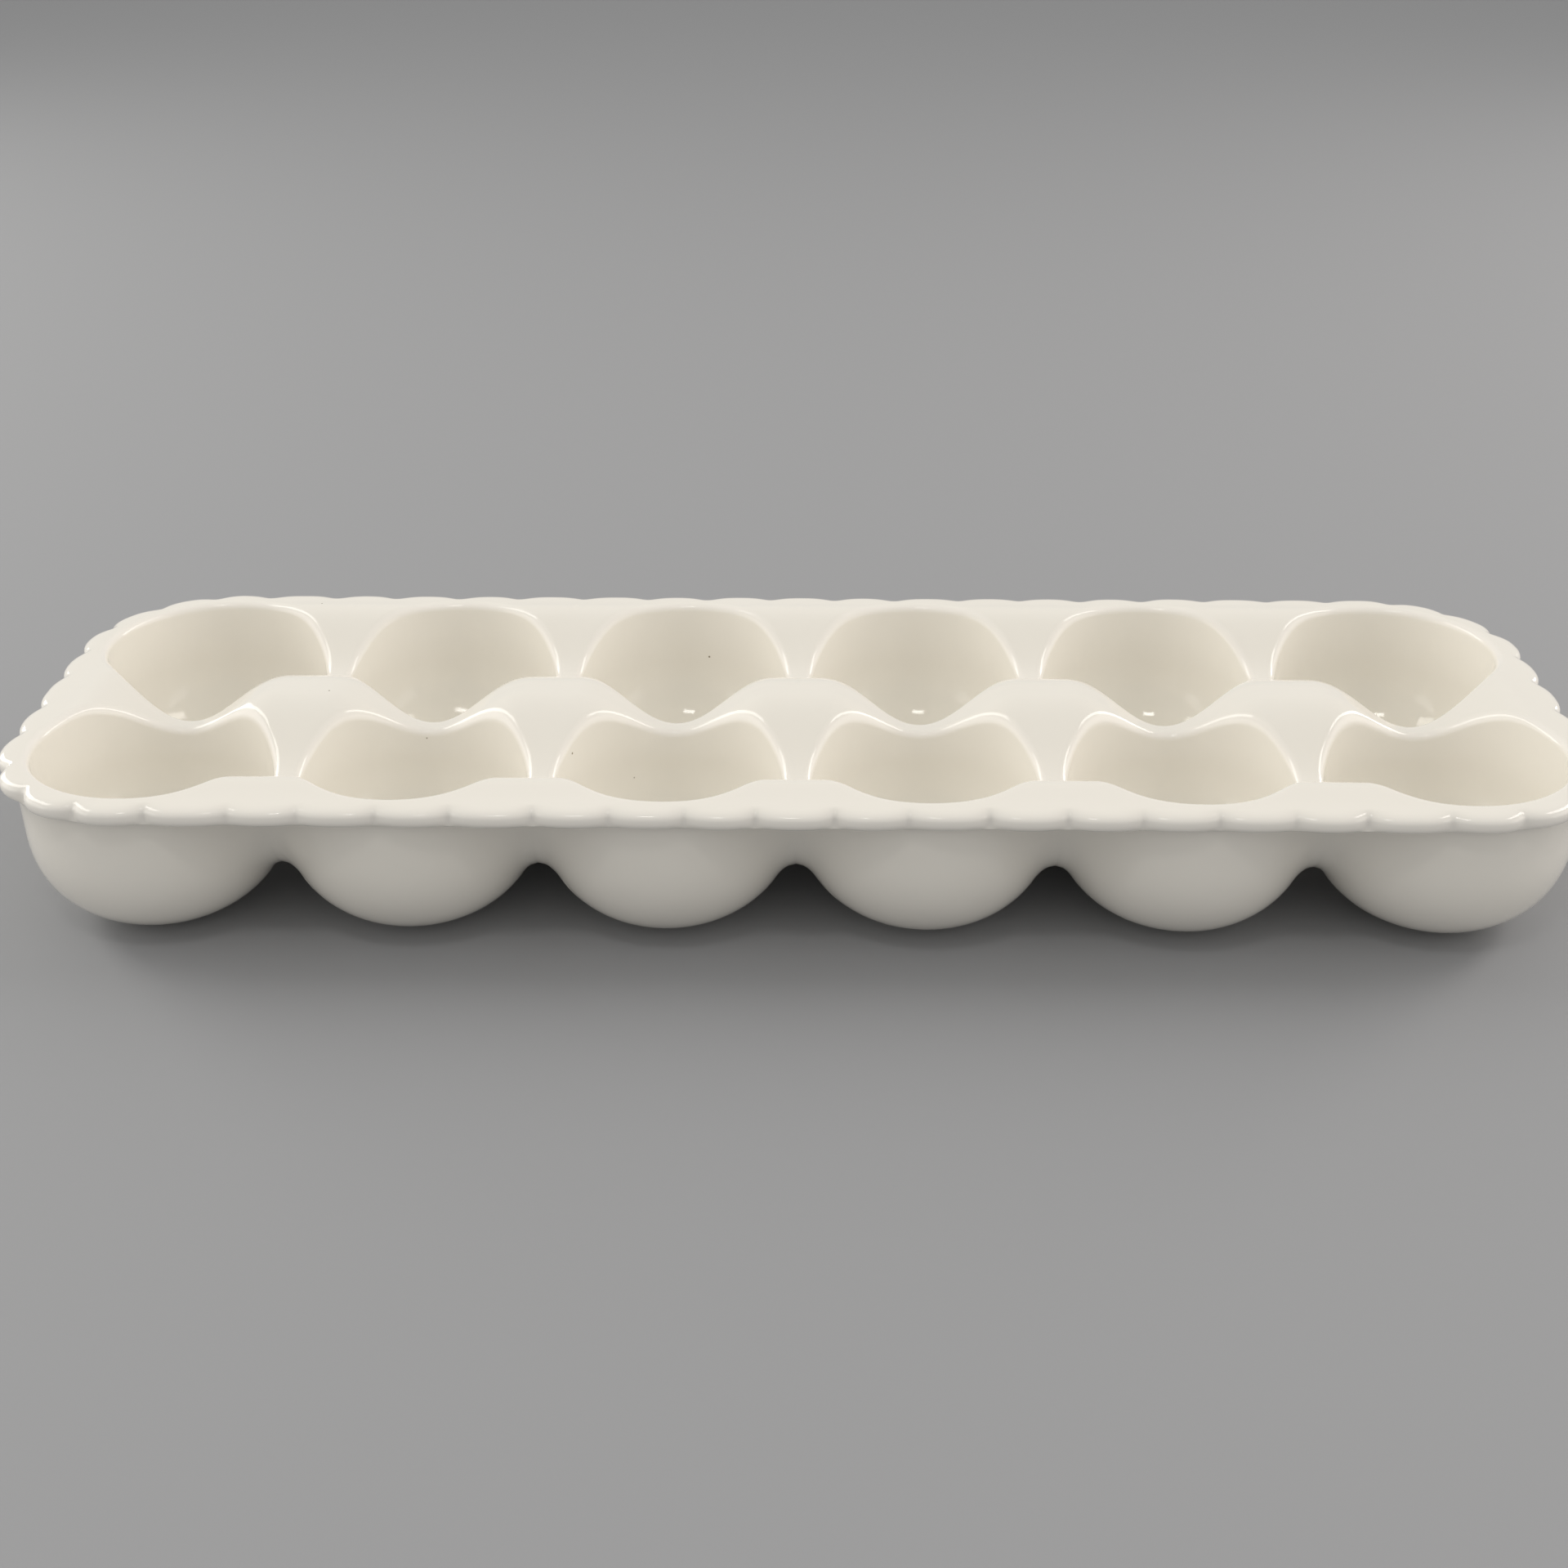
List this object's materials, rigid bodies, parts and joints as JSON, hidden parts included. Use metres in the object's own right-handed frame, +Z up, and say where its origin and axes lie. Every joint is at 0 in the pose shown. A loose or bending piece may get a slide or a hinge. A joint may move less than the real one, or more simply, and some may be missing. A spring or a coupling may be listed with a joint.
{
  "type": "egg holder tray",
  "caption": "Glazed ceramic egg tray: rows of deep round wells standing on their own bowls, joined by a dipped deck with a scalloped lip.",
  "frame": {"origin": "middle of the tray's footprint, on the table plane that its feet stand on", "axes": "+X along the tray, from the left end to the right; +Y from the front row of wells to the rear row; +Z up, out of the wells"},
  "size_m": [0.306, 0.106, 0.036],
  "materials": {
    "cream_glaze": "glossy cream glaze"
  },
  "bodies": {
    "root": {"cup_front_1": "cream_glaze", "cup_front_2": "cream_glaze", "cup_front_3": "cream_glaze", "cup_front_4": "cream_glaze", "cup_front_5": "cream_glaze", "cup_front_6": "cream_glaze", "cup_rear_1": "cream_glaze", "cup_rear_2": "cream_glaze", "cup_rear_3": "cream_glaze", "cup_rear_4": "cream_glaze", "cup_rear_5": "cream_glaze", "cup_rear_6": "cream_glaze", "rim_front": "cream_glaze", "rim_rear": "cream_glaze", "rim_left": "cream_glaze", "rim_right": "cream_glaze"}
  },
  "joints": []
}
